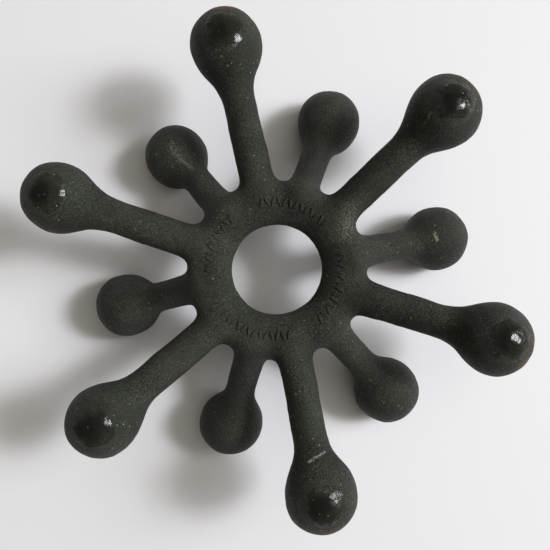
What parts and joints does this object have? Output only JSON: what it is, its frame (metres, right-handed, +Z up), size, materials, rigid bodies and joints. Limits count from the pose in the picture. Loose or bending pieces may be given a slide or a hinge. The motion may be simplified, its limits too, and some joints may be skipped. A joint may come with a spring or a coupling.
{
  "type": "star candle holder",
  "caption": "Cast-iron star holder for thin tapers or stems: a ring with long and short ball-ended arms, a socket in each ball and dipped tips on the long ones.",
  "frame": {"origin": "on the ring's axis, in the plane of the short balls' rims that the object lies on", "axes": "+Z up, out of the marked underside, as the object lies in the picture (in use it is turned over). +X along one long arm, so the long arms are at 0, 60, 120 ... degrees and the short ones halfway between."},
  "size_m": [0.1974, 0.1746, 0.0589],
  "materials": {
    "cast_iron": "matte sand-cast",
    "dipped_enamel": "gloss"
  },
  "bodies": {
    "root": {"hub_ring": "cast_iron", "long_arm_1": "cast_iron", "long_arm_2": "cast_iron", "long_arm_3": "cast_iron", "long_arm_4": "cast_iron", "long_arm_5": "cast_iron", "long_arm_6": "cast_iron", "long_ball_1": "cast_iron", "long_ball_2": "cast_iron", "long_ball_3": "cast_iron", "long_ball_4": "cast_iron", "long_ball_5": "cast_iron", "long_ball_6": "cast_iron", "short_arm_1": "cast_iron", "short_arm_2": "cast_iron", "short_arm_3": "cast_iron", "short_arm_4": "cast_iron", "short_arm_5": "cast_iron", "short_arm_6": "cast_iron", "short_ball_1": "cast_iron", "short_ball_2": "cast_iron", "short_ball_3": "cast_iron", "short_ball_4": "cast_iron", "short_ball_5": "cast_iron", "short_ball_6": "cast_iron", "foot_tip_1": "dipped_enamel", "foot_tip_2": "dipped_enamel", "foot_tip_3": "dipped_enamel", "foot_tip_4": "dipped_enamel", "foot_tip_5": "dipped_enamel", "foot_tip_6": "dipped_enamel"}
  },
  "joints": []
}
